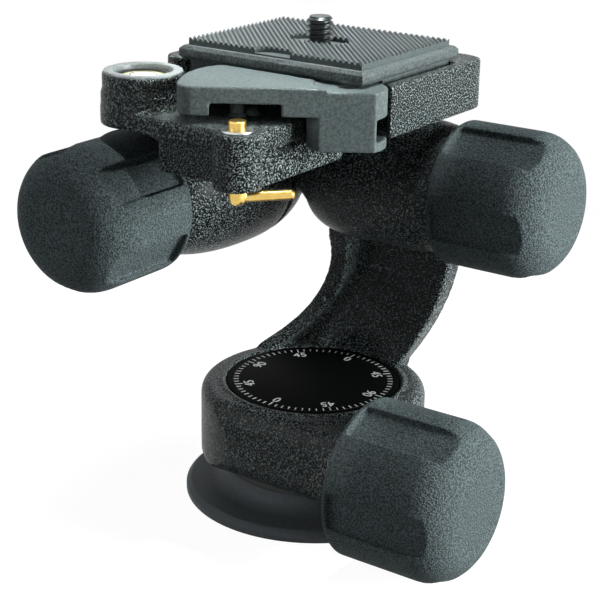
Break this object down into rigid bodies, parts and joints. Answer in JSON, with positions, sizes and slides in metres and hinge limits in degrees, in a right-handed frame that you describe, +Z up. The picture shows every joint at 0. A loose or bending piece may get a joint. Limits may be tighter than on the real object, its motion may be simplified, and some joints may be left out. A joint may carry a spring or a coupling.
{
  "type": "three-way tripod head",
  "caption": "Tripod head with separate pan, tilt and roll axes, each locked by its own fluted knob, under a lever-operated quick-release clamp for a camera plate.",
  "frame": {"origin": "centre of the tripod thread in the base's bottom face, on the pan axis", "axes": "+Z up along the pan axis, +X toward the tilt knob along the camera plate's long side, -Y toward the roll knob"},
  "size_m": [0.1119, 0.0944, 0.1242],
  "materials": {
    "casting": "grained powder coat",
    "base": "satin",
    "alloy": "machined",
    "dial": "satin with a printed scale",
    "knob": "soft matte",
    "steel": "turned",
    "brass": "turned",
    "nylon": "matte",
    "level_ring": "satin",
    "vial": "clear, tinted",
    "lever": "satin",
    "plate": "satin, anodised",
    "pad": "ribbed",
    "screw": "blackened"
  },
  "bodies": {
    "base": {"base_disc": "base", "base_screws": "steel", "pan_hub": "alloy", "pan_washer": "nylon", "pan_retainer": "steel", "pan_nut": "steel"},
    "pan": {"arm_casting": "casting", "dial_plate": "dial", "tilt_bushes": "brass", "tilt_thrust_washer": "steel"},
    "pan_lock": {"pan_knob": "knob", "pan_insert": "brass", "pan_screw": "steel"},
    "shoe_inner": {"pan_shoe_inner": "brass"},
    "shoe_outer": {"pan_shoe_outer": "brass"},
    "elbow": {"elbow_casting": "casting", "tilt_spindle": "steel", "tilt_washer": "nylon", "roll_spindle": "steel", "roll_washer": "nylon"},
    "tilt_lock": {"tilt_knob": "knob", "tilt_insert": "brass"},
    "clamp": {"clamp_body": "casting", "roll_bushes": "brass", "roll_thrust_washer": "steel", "level_ring": "level_ring", "level_vial": "vial", "lever_pivot": "steel", "pin_collar": "steel", "quick_plate": "plate", "plate_pad": "pad"},
    "roll_lock": {"roll_knob": "knob", "roll_insert": "brass"},
    "lever": {"lever": "lever"},
    "safety_pin": {"safety_pin": "brass"},
    "camera_screw": {"camera_screw": "screw"},
    "trigger": {"trigger_pin": "steel"}
  },
  "joints": [
    {"name": "pan_turn", "type": "hinge", "parent": "base", "child": "pan", "pos_m": [0, 0, 0.015], "axis": [0, 0, 1], "continuous": true},
    {"name": "tilt_turn", "type": "hinge", "parent": "pan", "child": "elbow", "pos_m": [0, 0.016, 0.0825], "axis": [1, 0, 0], "range_deg": [-90, 30]},
    {"name": "roll_turn", "type": "hinge", "parent": "elbow", "child": "clamp", "pos_m": [-0.031, 0, 0.08], "axis": [0, 1, 0], "range_deg": [-90, 2]},
    {"name": "pan_knob_turn", "type": "hinge", "parent": "pan", "child": "pan_lock", "pos_m": [0.031, -0.0222, 0.0202], "axis": [1, 0, 0], "range_deg": [0, 180]},
    {"name": "shoe_inner_slide", "type": "slide", "parent": "pan", "child": "shoe_inner", "axis": [1, 0, 0], "range_m": [-0.00052, 0]},
    {"name": "shoe_outer_slide", "type": "slide", "parent": "pan", "child": "shoe_outer", "axis": [1, 0, 0], "range_m": [0, 0.00052]},
    {"name": "tilt_knob_turn", "type": "hinge", "parent": "pan", "child": "tilt_lock", "pos_m": [0.031, 0.016, 0.0825], "axis": [1, 0, 0], "range_deg": [0, 180]},
    {"name": "roll_knob_turn", "type": "hinge", "parent": "clamp", "child": "roll_lock", "pos_m": [-0.031, -0.0321, 0.08], "axis": [0, -1, 0], "range_deg": [0, 180]},
    {"name": "lever_turn", "type": "hinge", "parent": "clamp", "child": "lever", "pos_m": [0.022, -0.0208, 0.107], "axis": [0, 0, 1], "range_deg": [0, 65], "stiffness_Nm_per_rad": 0.05},
    {"name": "safety_pin_turn", "type": "hinge", "parent": "clamp", "child": "safety_pin", "pos_m": [0.0095, -0.045, 0.1], "axis": [0, 0, 1], "range_deg": [-90, 0]},
    {"name": "camera_screw_turn", "type": "hinge", "parent": "clamp", "child": "camera_screw", "pos_m": [0, 0, 0.116], "axis": [0, 0, 1], "continuous": true},
    {"name": "trigger_press", "type": "slide", "parent": "clamp", "child": "trigger", "axis": [0, 0, 1], "range_m": [-0.0008, 0], "stiffness_N_per_m": 300}
  ],
  "couplings": [
    {"joint": "shoe_inner_slide", "follows": "pan_knob_turn", "m_per_rad": -0.000159},
    {"joint": "shoe_outer_slide", "follows": "pan_knob_turn", "m_per_rad": 0.000159}
  ]
}
